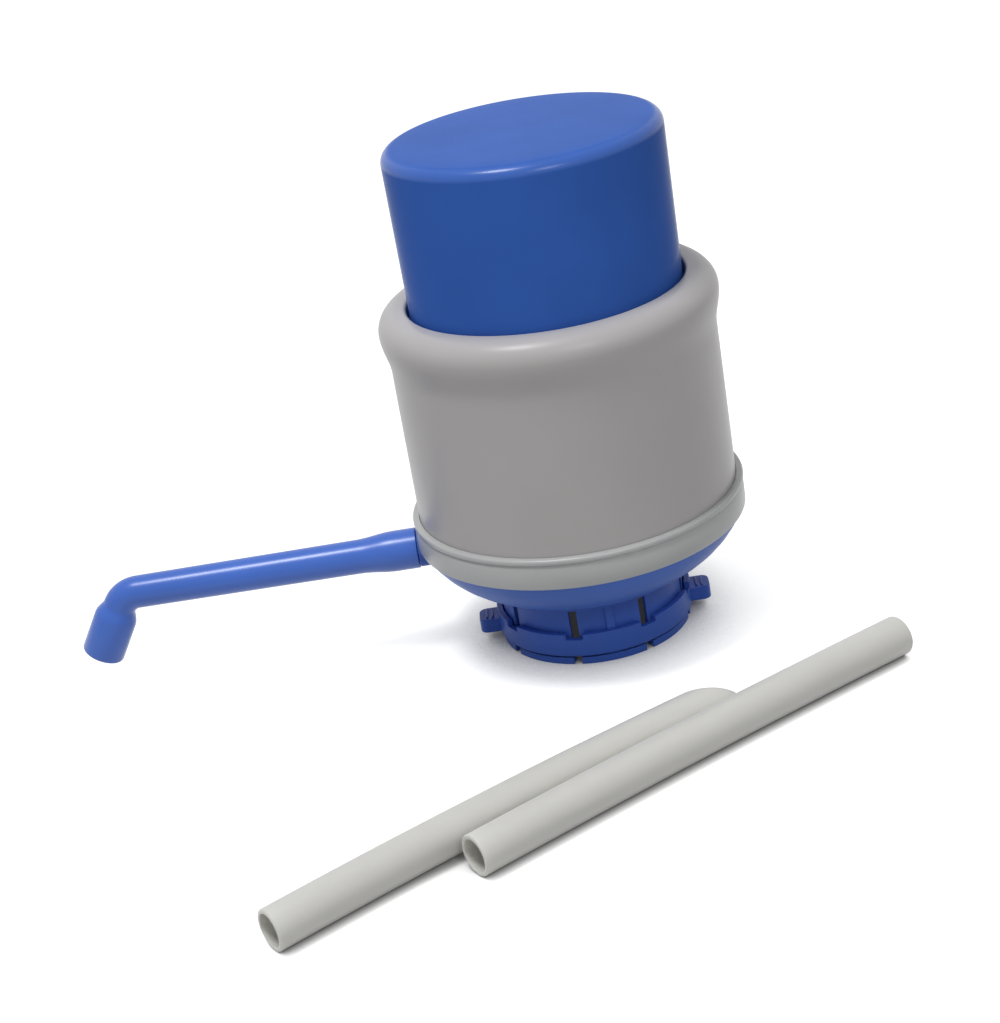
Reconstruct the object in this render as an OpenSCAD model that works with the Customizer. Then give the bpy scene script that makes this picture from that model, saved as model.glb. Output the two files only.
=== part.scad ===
// Hand pump for a water jug, with two loose lengths of dip tube lying in front of it.
// The pump stands on its neck collar. Its axis is Z, the surface is z = 0, and the spout points along -X.
// Pressing the cap squeezes a sprung bellows, which blows air down into the jug; the water comes up the
// dip tube, round the elbow in the base and out of the spout. Everything is in millimetres.

/* [Neck collar] */
// Radius of the grip at the finger tips, for a 55 mm jug neck
neck_r = 28; // [27:0.1:29]
// Height of the grip at the finger tips
grip_h = 9.5; // [8:0.5:10]
// Wall of the fingers at the grip
finger_wall = 1.8; // [1.5:0.1:2.2]
// Number of fingers
finger_count = 8; // [6:1:10]
// Width of the slot between two fingers
slot_w = 2.6; // [2:0.1:4]
// Height of the lip round the foot
lip_h = 2.4; // [2:0.1:3.5]
// How far the lip stands out from the fingers
lip_out = 1.4; // [1:0.1:1.8]
// Height of the solid band above the fingers
root_h = 4; // [3.5:0.5:6]
// Wall of the solid band
root_w = 5.3; // [5:0.1:6]

/* [Lock ring] */
// Height of the ring
lock_h = 8; // [6:0.5:10]
// Wall of the ring
lock_wall = 2; // [1.6:0.1:2.6]
// Radial clearance between ring and fingers
lock_gap = 0.4; // [0.3:0.05:0.6]
// Travel of the ring from locked to open
lock_travel = 8; // [6:0.5:10]
// How far a thumb lug reaches out from the ring
lug_reach = 6.3; // [4:0.1:9]
// Width of a thumb lug
lug_w = 9.5; // [7:0.5:14]
// Thickness of a thumb lug
lug_t = 4.6; // [3.5:0.1:5.5]

/* [Base] */
// Height of the bowl's lower rim below the floor
rim_drop = 4; // [3:0.5:5]
// Wall of the bowl
base_wall = 2.4; // [2:0.1:3]
// Thickness of the floor
floor_t = 2.5; // [2:0.1:3.5]
// How far the bowl's side bulges out from a straight line
bowl_bulge = 2.8; // [1.5:0.1:4]
// Clear height between floor and deck
chamber_h = 15; // [14.8:0.1:18]
// Thickness of the neck gasket
gasket_t = 2; // [1.5:0.1:3]
// Inner radius of the neck gasket
gasket_in_r = 20.5; // [19:0.5:22]

/* [Barrel] */
// Outer radius of the barrel
barrel_r = 51.8; // [51:0.1:54]
// Wall of the barrel
barrel_wall = 2.2; // [1.8:0.1:2.6]
// Height of the barrel from its foot to the mouth
barrel_h = 72; // [68:1:80]
// How far the shoulder stands out from the barrel
shoulder_out = 2; // [0.5:0.1:2.5]
// Radius of the shoulder's rounding
shoulder_round = 7; // [6:0.5:9]
// Length of the guide sleeve below the mouth
sleeve_h = 17; // [14:1:20]
// Wall of the guide sleeve
sleeve_wall = 1.6; // [1.2:0.1:2]

/* [Trim ring] */
// How far the ring stands out from the barrel
ring_out = 2; // [1.5:0.1:3]
// Height of the ring
ring_h = 10.2; // [9:0.1:12]
// Radius of the bead along its top edge
bead_r = 1; // [0.8:0.1:1.4]

/* [Press cap] */
// Distance from the barrel's side in to the cap's top edge
cap_inset = 8.2; // [7.5:0.1:10]
// How much smaller the cap is at its foot
cap_draft = 0.6; // [0.4:0.1:1.2]
// Wall of the cap
cap_wall = 2.4; // [2:0.1:3]
// Rounding of the cap's top edge
cap_fillet = 3.8; // [3:0.1:6]
// Height of the cap that still stands above the mouth when it is pressed
cap_left = 14; // [10:1:18]
// Clearance between cap and mouth
cap_gap = 0.4; // [0.3:0.05:0.6]
// Travel of the cap
press_travel = 36; // [30:1:38]

/* [Bellows] */
// Distance from the cap's side in to the pleats
bellows_inset = 8.6; // [7:0.1:10]
// Depth of a pleat
pleat_depth = 7; // [5:0.5:8]
// Number of pleats
pleat_count = 8; // [6:1:10]
// Wall of the bellows
bellows_wall = 1.6; // [1.2:0.1:2]
// Thickness of the deck under the bellows
deck_t = 2.5; // [2.2:0.1:3.5]
// Thickness of the bellows' top plate
plate_t = 2.4; // [2:0.1:3]

/* [Return spring] */
// Radius of the coil, at the middle of the wire
spring_r = 11.5; // [10.5:0.5:13]
// Radius of the wire
wire_r = 0.9; // [0.7:0.05:1.1]
// Number of turns
spring_turns = 9; // [7:1:11]

/* [Spout] */
// Distance from the pump axis to the bend
spout_reach = 156; // [120:1:180]
// Outer radius of the pipe at the bend
pipe_r = 5.4; // [4.8:0.1:5.8]
// Outer radius of the flared root
root_flare_r = 6.7; // [6.4:0.1:7]
// Wall of the pipe
pipe_wall = 1.5; // [1.2:0.1:1.8]
// Outer radius of the nozzle
nozzle_r = 7; // [6.2:0.1:7.6]
// Length of the nozzle below the bend
nozzle_len = 18.5; // [14:0.5:24]
// Lean of the nozzle outwards from straight down, in degrees
nozzle_lean = 30; // [10:1:45]
// Radial clearance between the spigot and its bush
swivel_gap = 0.05; // [0.03:0.01:0.08]

/* [Dip tubes] */
// Outer radius of a tube
tube_r = 6.25; // [6:0.05:6.5]
// Wall of a tube
tube_wall = 1.3; // [1:0.1:1.8]
// Length of a tube
tube_len = 161; // [150:1:190]
// Gap between the two tubes where they lie side by side
tube_gap = 0.4; // [0.3:0.1:2]
// Direction in which the tubes lie, in degrees from +X
tube_turn = 33.5; // [20:0.5:45]
// How far the right tube is shifted along from the left one
tube_shift = 58; // [40:1:80]
// Length of the slanted cut at the left tube's far end
foot_cut = 18; // [12:1:24]

/* [Hidden] */

// Roundness of turned shapes, and a small overrun for cuts
round_fn = 96;
over = 1;
// Clearance between pieces that are only assembled, and round which they are centred
seat_gap = 0.2;

// Colours
c_cap = [0.25, 0.42, 0.80];
c_base = [0.27, 0.41, 0.74];
c_collar = [0.12, 0.22, 0.66];
c_barrel = [0.83, 0.83, 0.81];
c_ring = [0.74, 0.75, 0.74];
c_tube = [0.80, 0.80, 0.75];
c_rubber = [0.20, 0.20, 0.22];
c_silicone = [0.86, 0.88, 0.90];
c_steel = [0.75, 0.76, 0.78];
c_inner = [0.92, 0.92, 0.90];

// Heights from the surface up
lock_foot_gap = 0.6;
lock_head_gap = 1;
lock_z = lip_h + lock_foot_gap;
root_z = lock_z + lock_travel + lock_h + lock_head_gap;
neck_depth = root_z + root_h;
floor_z = neck_depth + gasket_t;
floor_top = floor_z + floor_t;
rim_z = floor_z - rim_drop;
deck_z = floor_top + chamber_h;
deck_top = deck_z + deck_t;
spout_z = floor_top + chamber_h / 2;
ring_z = spout_z + 2;
mouth_z = deck_top + barrel_h;
cap_top_z = mouth_z + press_travel + cap_left;

// Collar and lock ring
relief = 0.3;
finger_out_r = neck_r + finger_wall;
lip_r = finger_out_r + lip_out;
root_out_r = neck_r + root_w;
gasket_r = neck_r + 0.6;
key_w = 2.6;
key_out = 0.9;
key_turn = -82.5;
slot_turn = -105;
lock_in_r = finger_out_r + lock_gap;
lock_out_r = lock_in_r + lock_wall;
lug_r = lock_out_r + lug_reach;
notch_w = 5;
notch_d = 1.8;

// Base
rim_r = root_out_r + seat_gap + base_wall;
bowl_r = barrel_r + 1.2;
ledge_w = 4.6;
barrel_in_r = barrel_r - barrel_wall;
ledge_in_r = barrel_in_r - ledge_w / 2;
deck_r = barrel_in_r - seat_gap;
seal_t = 0.8;
seal_in_r = ledge_in_r + 0.5;
air_hole_r = 2;
air_hole_pcd_r = 15;

// Screws
screw_r = 1.4;
head_r = 2.7;
head_h = 1.8;
ear_r = 4.2;
ear_pcd_r = barrel_in_r - 5.1;
ear_t = 2.4;
collar_screw_pcd_r = neck_r + root_w / 2 + 0.3;
collar_screw_len = floor_t + gasket_t + root_h - 0.5;
barrel_screw_bite = 8;
barrel_screw_len = ear_t + deck_t + barrel_screw_bite;
base_post_h = barrel_screw_bite + 3;
base_post_r = 3.4;
base_post_drop = 0.3;

// Cap, bellows and what clamps it
cap_r = barrel_r - cap_inset;
bellows_r = cap_r - bellows_inset;
foot_t = 1.6;
foot_in_r = bellows_r - pleat_depth;
clamp_in_r = bellows_r - 3.5;
clamp_out_r = bellows_r + 4.5;
clamp_t = 2.4;
clamp_pcd_r = bellows_r + 0.5;
clamp_boss_h = 3;
clamp_screw_len = clamp_t + foot_t + deck_t + clamp_boss_h - 0.8;
pleat_z = deck_top + foot_t + clamp_t + head_h;
cap_inner_z = cap_top_z - cap_wall - 0.2;
boss_h = 4;
plate_top = cap_inner_z - boss_h;
plate_z = plate_top - plate_t;
plate_r = bellows_r - 3.5;
boss_in_r = plate_r - 5;
pleat_top = plate_z - foot_t - 1;

// Umbrella valves
valve_stem_r = 1.9;
valve_r = 8;
valve_t = 1.6;
port_r = 1.5;
port_pcd_r = 4.8;
outlet_x = 20;

// Water passage
leg_r = 8;
leg_z = grip_h + 0.5;
dip_depth = 12;
dip_gap = 0.05;
dip_r = tube_r + dip_gap;
water_r = 4.5;
elbow_r = 6.6;
elbow_end_r = 7.2;
elbow_flange_r = 11;
elbow_flange_t = 1.5;
elbow_seal_t = 0.8;
nut_r = 11.5;
nut_t = 3.5;
elbow_cup = 8.5;
bush_r = 6.4;
bush_end_r = 5.9;
bush_out_x = barrel_r + ring_out + 0.2;
bush_len = 18;
elbow_end_x = bush_out_x - bush_len;
swivel_r = 5;
swivel_len = 11;
spigot_r = swivel_r - swivel_gap;
spigot_bore_r = 2.9;
groove_w = 1.7;
groove_r = 3.7;
o_ring_r = 0.6;

// Spout
spout_face_x = bush_out_x + 0.3;
flare_len = 7.5;
flare_end_len = 20;
pipe_grow = 0.25;
bend_r = 8;
nozzle_step = 4.5;
bend_lap = 0.06;

// Points of an arc in a turned profile, as [radius, height]
function arc(cx, cz, r, a0, a1, n = 8) =
    [for (i = [0:n]) let (a = a0 + (a1 - a0) * i / n) [cx + r * cos(a), cz + r * sin(a)]];

// Points of an arc from p to q that bulges by s to the right of the way from p to q
function bulged(p, q, s, n = 10) =
    let (
        c = norm(q - p),
        r = (c * c / 4 + s * s) / (2 * s),
        u = (q - p) / c,
        m = (p + q) / 2 + [-u[1], u[0]] * (r - s),
        half = asin(c / 2 / r),
        mid = atan2(-u[0], u[1])
    )
    [for (i = [0:n]) let (a = mid - half + 2 * half * i / n) m + r * [cos(a), sin(a)]];

// Smooth step from 0 to 1
function ease(t) = (1 - cos(180 * t)) / 2;

// Copies of the children at equal angles
module around(count, turn = 0) {
    for (i = [0:count - 1]) {
        rotate([0, 0, turn + i * 360 / count]) {
            children();
        }
    }
}

// A body turned about Z from a profile
module turned(points) {
    rotate_extrude($fn = round_fn) {
        polygon(points);
    }
}

// Ring between two radii, from height z up by h
module ring(r_in, r_out, z, h) {
    turned([[r_in, z], [r_out, z], [r_out, z + h], [r_in, z + h]]);
}

// Straight hole or post about Z
module post(r, z, h) {
    translate([0, 0, z]) {
        cylinder(r = r, h = h, $fn = 48);
    }
}

// Cylinder along -X on the spout's axis, between two distances from the pump axis
module along_spout(r, x0, x1) {
    translate([-x0, 0, spout_z]) {
        rotate([0, -90, 0]) {
            cylinder(r = r, h = x1 - x0, $fn = 64);
        }
    }
}

// Pan-head screw that points down, its head resting on z = 0
module screw(len) {
    difference() {
        union() {
            turned([[0, 0], [head_r, 0], [head_r, head_h - 0.7], [head_r - 0.7, head_h], [0, head_h]]);
            post(screw_r, -len, len + 0.1);
        }
        for (a = [0, 90]) {
            rotate([0, 0, a]) {
                translate([-1.7, -0.4, head_h - 0.9]) {
                    cube([3.4, 0.8, over]);
                }
            }
        }
    }
}

// Silicone umbrella valve: stem and bulb above a thin skirt that covers the ports, seated under z = 0
module umbrella(through) {
    turned([[0, -valve_t], [2.6, -valve_t], [valve_r, -0.7], [valve_r, 0], [valve_r - 1.2, 0],
        [valve_r - 2, -0.5], [port_pcd_r - port_r - 1, -0.6], [valve_stem_r, 0], [valve_stem_r, through],
        [2.9, through], [valve_stem_r, through + 2.2], [1.2, through + 3.4], [0, through + 3.4]]);
}

// Stem hole and air ports of a valve seat
module valve_ports(z, t) {
    post(valve_stem_r + 0.1, z - over, t + 2 * over);
    around(6) {
        translate([port_pcd_r, 0, 0]) {
            post(port_r, z - over, t + 2 * over);
        }
    }
}

module press_cap() {
    stop_gap = 0.4;
    flange_t = 2.4;
    flange_out = 4;
    rib_t = 1.6;
    rib_h = 2;
    foot_z = mouth_z - sleeve_h - stop_gap - flange_t;
    foot_r = cap_r - cap_draft;
    top_z = cap_top_z - cap_fillet;
    in_fillet = cap_fillet - cap_wall / 2;
    color(c_cap) difference() {
        union() {
            turned(concat(
                [[foot_r - cap_wall, foot_z], [foot_r + flange_out, foot_z],
                    [foot_r + flange_out, foot_z + flange_t], [foot_r, foot_z + flange_t]],
                arc(cap_r - cap_fillet, top_z, cap_fillet, 0, 90),
                [[0, cap_top_z], [0, cap_inner_z]],
                arc(cap_r - cap_wall - in_fillet, cap_inner_z - in_fillet, in_fillet, 90, 0)
            ));
            ring(boss_in_r, boss_in_r + cap_wall, plate_top, boss_h + 0.1);
            around(8) {
                translate([valve_r, -rib_t / 2, cap_inner_z - rib_h]) {
                    cube([boss_in_r - valve_r + over, rib_t, rib_h + 0.1]);
                }
            }
        }
        around(4, 22.5) {
            translate([boss_in_r - over, -3, plate_top - over]) {
                cube([cap_wall + 2 * over, 6, boss_h - 1.5 + over]);
            }
        }
        around(4, 45) {
            translate([foot_r + 0.6, -4, foot_z - over]) {
                cube([flange_out + over, 8, flange_t + 2 * over]);
            }
        }
    }
}

module bellows_top_plate() {
    color(c_inner) difference() {
        union() {
            ring(0, plate_r, plate_z, plate_t);
            ring(boss_in_r - 3, boss_in_r - seat_gap, plate_top - 0.1, boss_h - 2.4);
        }
        valve_ports(plate_z, plate_t);
    }
}

module intake_valve() {
    color(c_silicone) translate([0, 0, plate_z]) {
        umbrella(plate_t);
    }
}

// Pleated tube: a flat-tipped fold outwards and one inwards for each pleat
module bellows() {
    pitch = (pleat_top - pleat_z) / pleat_count;
    flat = 0.07 * pitch;
    outer = [for (i = [0:pleat_count - 1]) each [
        [foot_in_r + 1, pleat_z + i * pitch + flat],
        [bellows_r, pleat_z + (i + 0.5) * pitch - flat],
        [bellows_r, pleat_z + (i + 0.5) * pitch + flat],
        [foot_in_r + 1, pleat_z + (i + 1) * pitch - flat]]];
    inner = [for (i = [len(outer) - 1:-1:0]) outer[i] - [bellows_wall, 0]];
    color(c_rubber) difference() {
        turned(concat(
            [[foot_in_r - 1, deck_top], [clamp_out_r - 0.6, deck_top], [clamp_out_r - 0.6, deck_top + foot_t],
                [foot_in_r + 1, deck_top + foot_t]],
            outer,
            [[foot_in_r + 1, plate_z - foot_t], [plate_r, plate_z - foot_t], [plate_r, plate_z],
                [foot_in_r - 8, plate_z], [foot_in_r - 8, plate_z - foot_t],
                [foot_in_r + 1 - bellows_wall, plate_z - foot_t]],
            inner,
            [[foot_in_r + 1 - bellows_wall, deck_top + foot_t], [foot_in_r - 1, deck_top + foot_t]]
        ));
        around(4, 45) {
            translate([clamp_pcd_r, 0, 0]) {
                post(screw_r + 0.2, deck_top - over, foot_t + 2 * over);
            }
        }
    }
}

// Coil spring as one unbroken wire: points along the helix, with a closed turn at each end
spring_foot = deck_top + wire_r + 0.05;
spring_head = plate_z - wire_r - 0.05;
spring_steps = 12;
closed_pitch = 2.6 * wire_r;
function spring_point(i) =
    let (
        t = i / spring_steps,
        last = spring_turns - 1,
        open = (spring_head - spring_foot - 2 * closed_pitch) / (last - 1),
        z = t < 1 ? closed_pitch * t
            : t > last ? closed_pitch * (1 + t - last) + open * (last - 1)
            : closed_pitch + open * (t - 1)
    )
    [spring_r * cos(360 * t), spring_r * sin(360 * t), spring_foot + z];

module return_spring() {
    count = spring_turns * spring_steps;
    sides = 6;
    points = [for (i = [0:count]) let (
            p = spring_point(i),
            ahead = spring_point(min(i + 1, count)) - spring_point(max(i - 1, 0)),
            along = ahead / norm(ahead),
            side = [p[0], p[1], 0] / spring_r,
            up = cross(side, along)
        )
        each [for (k = [0:sides - 1]) p + wire_r * (cos(360 * k / sides) * side
            + sin(360 * k / sides) * up / norm(up))]];
    skin = [for (i = [0:count - 1]) each [for (k = [0:sides - 1]) let (
            a = i * sides + k,
            b = i * sides + (k + 1) % sides
        )
        each [[a, b, b + sides], [a, b + sides, a + sides]]]];
    foot_end = [for (k = [1:sides - 2]) [0, k + 1, k]];
    head_end = [for (k = [1:sides - 2]) [count * sides, count * sides + k, count * sides + k + 1]];
    color(c_steel) polyhedron(points, concat(skin, foot_end, head_end), convexity = 10);
}

module barrel() {
    crest_r = barrel_r + shoulder_out - shoulder_round;
    shoulder_z = mouth_z - shoulder_round;
    blend = 12;
    mouth_r = cap_r + cap_gap;
    lip = 1.2;
    foot_t = 2;
    color(c_barrel) difference() {
        union() {
            turned(concat(
                [[barrel_in_r - 3, deck_top], [barrel_r, deck_top]],
                [for (t = [0:0.125:1]) [barrel_r + shoulder_out * ease(t), shoulder_z - blend * (1 - t)]],
                arc(crest_r, shoulder_z, shoulder_round, 10, 90),
                arc(mouth_r + lip, mouth_z - lip, lip, 90, 180, 4),
                [[mouth_r, mouth_z - sleeve_h], [mouth_r + sleeve_wall, mouth_z - sleeve_h]],
                arc(crest_r, shoulder_z, shoulder_round - barrel_wall, 88, 0),
                [[barrel_in_r, shoulder_z - blend], [barrel_in_r, deck_top + foot_t],
                    [barrel_in_r - 3, deck_top + foot_t]]
            ));
            around(4, 45) {
                translate([ear_pcd_r, 0, 0]) {
                    post(ear_r, deck_top, ear_t);
                }
            }
        }
        around(4, 45) {
            translate([ear_pcd_r, 0, 0]) {
                post(screw_r + 0.2, deck_top - over, ear_t + 2 * over);
            }
        }
    }
}

module barrel_screws() {
    color(c_steel) around(4, 45) {
        translate([ear_pcd_r, 0, deck_top + ear_t]) {
            screw(barrel_screw_len);
        }
    }
}

module trim_ring() {
    in_r = barrel_r + 0.15;
    out_r = barrel_r + ring_out;
    top = ring_z + ring_h;
    color(c_ring) difference() {
        turned(concat(
            [[in_r, ring_z], [out_r - 0.5, ring_z], [out_r, ring_z + 0.6], [out_r, top - 2 * bead_r - 1],
                [out_r - 0.5, top - 2 * bead_r]],
            arc(out_r - bead_r + 0.25, top - bead_r, bead_r, -50, 110, 8),
            [[in_r, top - 0.4]]
        ));
        along_spout(bush_r + 0.3, barrel_in_r, bowl_r + 4);
    }
}

module valve_deck() {
    color(c_inner) difference() {
        union() {
            turned([[0, deck_z], [seal_in_r - 0.2, deck_z], [seal_in_r - 0.2, deck_z + seal_t],
                [deck_r, deck_z + seal_t], [deck_r, deck_top], [0, deck_top]]);
            around(4, 45) {
                translate([clamp_pcd_r, 0, 0]) {
                    post(3, deck_z - clamp_boss_h, clamp_boss_h + 0.1);
                }
            }
            ring(spring_r - wire_r - 3, spring_r - wire_r - 0.4, deck_top - 0.1, 3.5);
        }
        translate([outlet_x, 0, 0]) {
            valve_ports(deck_z, deck_t);
        }
        around(4, 45) {
            translate([clamp_pcd_r, 0, 0]) {
                post(screw_r + 0.05, deck_z - clamp_boss_h - over, deck_t + clamp_boss_h + 2 * over);
            }
            translate([ear_pcd_r, 0, 0]) {
                post(screw_r + 0.2, deck_z - over, deck_t + 2 * over);
            }
        }
    }
}

module deck_seal() {
    color(c_rubber) ring(seal_in_r, deck_r, deck_z, seal_t);
}

module outlet_valve() {
    color(c_silicone) translate([outlet_x, 0, deck_z]) {
        umbrella(deck_t);
    }
}

module bellows_clamp_ring() {
    color(c_inner) difference() {
        ring(clamp_in_r, clamp_out_r, deck_top + foot_t, clamp_t);
        around(4, 45) {
            translate([clamp_pcd_r, 0, 0]) {
                post(screw_r + 0.2, deck_top, foot_t + clamp_t + over);
            }
        }
    }
}

module clamp_screws() {
    color(c_steel) around(4, 45) {
        translate([clamp_pcd_r, 0, deck_top + foot_t + clamp_t]) {
            screw(clamp_screw_len);
        }
    }
}

module base() {
    outer = bulged([rim_r, rim_z], [bowl_r, ring_z], bowl_bulge);
    color(c_base) difference() {
        union() {
            turned(concat(
                [[0, floor_z], [rim_r - base_wall, floor_z], [rim_r - base_wall, rim_z]],
                outer,
                [[barrel_r, ring_z], [barrel_r, deck_top], [barrel_in_r, deck_top], [barrel_in_r, deck_z],
                    [ledge_in_r, deck_z], [ledge_in_r, ring_z + 2]],
                [[bowl_r - base_wall - 0.4, ring_z], [rim_r + 2, floor_top], [0, floor_top]]
            ));
            around(4, 45) {
                translate([ear_pcd_r, 0, 0]) {
                    post(base_post_r, deck_z - base_post_h, base_post_h - base_post_drop);
                }
            }
        }
        post(leg_r + seat_gap, floor_z - over, floor_t + 2 * over);
        around(4, 45) {
            translate([air_hole_pcd_r, 0, 0]) {
                post(air_hole_r, floor_z - over, floor_t + 2 * over);
            }
            translate([collar_screw_pcd_r, 0, 0]) {
                post(screw_r + 0.2, floor_z - over, floor_t + 2 * over);
            }
            translate([ear_pcd_r, 0, 0]) {
                post(screw_r + 0.05, deck_z - barrel_screw_bite - 1, barrel_screw_bite + 1 + over);
            }
        }
        along_spout(bush_r + 0.1, elbow_end_x - 2, bowl_r + 4);
    }
}

module water_elbow() {
    color(c_inner) difference() {
        union() {
            post(leg_r, leg_z, spout_z - leg_z);
            translate([0, 0, spout_z]) {
                sphere(r = elbow_r, $fn = 64);
            }
            along_spout(elbow_r, 0, elbow_end_x - elbow_cup - 2);
            along_spout(elbow_end_r, elbow_end_x - elbow_cup - 3, elbow_end_x);
            post(elbow_flange_r, floor_top + elbow_seal_t, elbow_flange_t);
        }
        post(dip_r, leg_z - over, dip_depth + over);
        post(water_r, leg_z, spout_z - leg_z);
        translate([0, 0, spout_z]) {
            sphere(r = water_r, $fn = 64);
        }
        along_spout(water_r, 0, elbow_end_x);
        along_spout(bush_end_r + 0.1, elbow_end_x - elbow_cup, elbow_end_x + over);
    }
}

module elbow_seal() {
    color(c_rubber) ring(leg_r + 0.1, elbow_flange_r, floor_top, elbow_seal_t);
}

module elbow_nut() {
    color(c_inner) difference() {
        translate([0, 0, floor_z - nut_t]) {
            cylinder(r = nut_r, h = nut_t, $fn = 6);
        }
        post(leg_r + 0.1, floor_z - nut_t - over, nut_t + 2 * over);
    }
}

module spout_socket() {
    color(c_base) difference() {
        union() {
            along_spout(bush_r, elbow_end_x + 0.2, bush_out_x);
            along_spout(bush_end_r, elbow_end_x - elbow_cup + 0.3, elbow_end_x + 0.3);
        }
        along_spout(swivel_r, bush_out_x - swivel_len, bush_out_x + over);
        along_spout(water_r - 0.3, elbow_end_x - elbow_cup, bush_out_x);
    }
}

module neck_gasket() {
    color(c_rubber) ring(gasket_in_r, gasket_r, neck_depth, gasket_t);
}

module neck_collar() {
    color(c_collar) difference() {
        union() {
            turned([[neck_r, 0], [lip_r - 0.5, 0], [lip_r, 0.5], [lip_r, lip_h - 0.4], [lip_r - 0.4, lip_h],
                [finger_out_r, lip_h], [finger_out_r, root_z], [root_out_r, root_z], [root_out_r, floor_z],
                [gasket_r + seat_gap, floor_z], [gasket_r + seat_gap, neck_depth],
                [neck_r + relief, neck_depth], [neck_r + relief, grip_h + 0.3], [neck_r, grip_h]]);
            around(2, key_turn) {
                translate([finger_out_r - 0.5, -key_w / 2, lip_h / 2]) {
                    cube([key_out + 0.5, key_w, root_z - lip_h / 2 + 0.1]);
                }
            }
        }
        around(finger_count, slot_turn) {
            translate([neck_r - 1, -slot_w / 2, -over]) {
                cube([lip_r - neck_r + 2, slot_w, root_z + over]);
            }
        }
        around(4, 45) {
            translate([collar_screw_pcd_r, 0, 0]) {
                post(screw_r + 0.05, root_z + 0.3, floor_z);
            }
        }
    }
}

module collar_screws() {
    color(c_steel) around(4, 45) {
        translate([collar_screw_pcd_r, 0, floor_top]) {
            screw(collar_screw_len);
        }
    }
}

// One thumb lug: a rounded tab with three ridges, reaching out along +X
module lug() {
    corner = 2.5;
    lug_z = lock_z + 0.4;
    translate([0, 0, lug_z]) {
        linear_extrude(lug_t) {
            translate([lock_in_r + 0.8, -lug_w / 2]) {
                square([lug_r - lock_in_r - 0.8 - corner, lug_w]);
            }
            translate([lug_r - corner - 0.1, -lug_w / 2 + corner]) {
                square([corner + 0.1, lug_w - 2 * corner]);
            }
            for (s = [-1, 1]) {
                translate([lug_r - corner, s * (lug_w / 2 - corner)]) {
                    circle(r = corner, $fn = 32);
                }
            }
        }
    }
    for (x = [lock_out_r + 1.5, lock_out_r + 3.3]) {
        translate([x, -lug_w / 2 + 1.5, lug_z + lug_t - 0.1]) {
            cube([0.8, lug_w - 3, 0.6]);
        }
    }
}

module lock_ring() {
    color(c_collar) difference() {
        union() {
            turned([[lock_in_r, lock_z + 0.8], [lock_in_r + 0.8, lock_z], [lock_out_r - 0.6, lock_z],
                [lock_out_r, lock_z + 0.6], [lock_out_r, lock_z + lock_h - 0.4],
                [lock_out_r - 0.4, lock_z + lock_h], [lock_in_r, lock_z + lock_h]]);
            around(2) {
                lug();
            }
        }
        around(finger_count, slot_turn) {
            translate([lock_in_r - over, -notch_w / 2, lock_z + lock_h - notch_d]) {
                cube([lock_wall + 2 * over, notch_w, notch_d + over]);
            }
        }
        around(2, key_turn) {
            translate([lock_in_r - over, -key_w / 2 - 0.3, lock_z - over]) {
                cube([over + key_out - lock_gap + 0.3, key_w + 0.6, lock_h + 2 * over]);
            }
        }
    }
}

// Solid of the spout's pipe and nozzle along -X, from the flared root to the tip
module spout_run(root, at_wall, at_bend, at_tip, end) {
    flare_x = spout_face_x + flare_len;
    pipe_x = spout_face_x + flare_end_len;
    bend_x = spout_reach - bend_r;
    translate([0, 0, spout_z]) {
        rotate([0, -90, 0]) {
            turned(concat(
                [[0, spout_face_x - end], [root, spout_face_x - end], [root, flare_x]],
                [for (t = [0.125:0.125:1]) [root + (at_wall - root) * ease(t), flare_x + (pipe_x - flare_x) * t]],
                [[at_bend + bend_lap, bend_x], [0, bend_x]]
            ));
        }
        translate([-bend_x, 0, -bend_r]) {
            rotate([90, 0, 0]) {
                rotate([0, 0, 89]) {
                    rotate_extrude(angle = 91 - nozzle_lean, $fn = round_fn) {
                        translate([bend_r, 0]) {
                            circle(r = at_bend, $fn = 48);
                        }
                    }
                }
            }
            rotate([0, nozzle_lean, 0]) {
                translate([-bend_r, 0, 0]) {
                    turned([[0, 0.2], [at_bend + bend_lap, 0.2], [at_tip, -nozzle_step], [at_tip, -nozzle_len - end],
                        [0, -nozzle_len - end]]);
                }
            }
        }
    }
}

module spout() {
    color(c_cap) difference() {
        union() {
            spout_run(root_flare_r, pipe_r + pipe_grow, pipe_r, nozzle_r, 0);
            along_spout(spigot_r, bush_out_x - swivel_len + 0.4, spout_face_x + 1);
        }
        spout_run(pipe_r - pipe_wall, pipe_r - pipe_wall, pipe_r - pipe_wall, nozzle_r - pipe_wall, over / 2);
        along_spout(spigot_bore_r, bush_out_x - swivel_len - over, spout_face_x + 1);
        translate([-(bush_out_x - swivel_len / 2) + groove_w / 2, 0, spout_z]) {
            rotate([0, -90, 0]) {
                ring(groove_r, spigot_r + over, 0, groove_w);
            }
        }
    }
}

module spout_o_ring() {
    color(c_rubber) translate([-(bush_out_x - swivel_len / 2), 0, spout_z]) {
        rotate([0, 90, 0]) {
            rotate_extrude($fn = round_fn) {
                translate([groove_r + o_ring_r + 0.02, 0]) {
                    circle(r = o_ring_r, $fn = 24);
                }
            }
        }
    }
}

// A length of dip tube along +X, from its near end at the origin
module dip_tube(end) {
    edge = 0.3;
    rotate([0, 90, 0]) {
        turned([[tube_r - tube_wall, 0], [tube_r - edge, 0], [tube_r, edge], [tube_r, end - edge],
            [tube_r - edge, end], [tube_r - tube_wall, end]]);
    }
}

// Moves a tube to its place on the surface, a distance along the pair and one across it
module lay_tube(along, across) {
    pair_x = -3.9;
    pair_y = -110.4;
    translate([pair_x, pair_y, tube_r]) {
        rotate([0, 0, tube_turn]) {
            translate([along - tube_len / 2, across, 0]) {
                children();
            }
        }
    }
}

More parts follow.
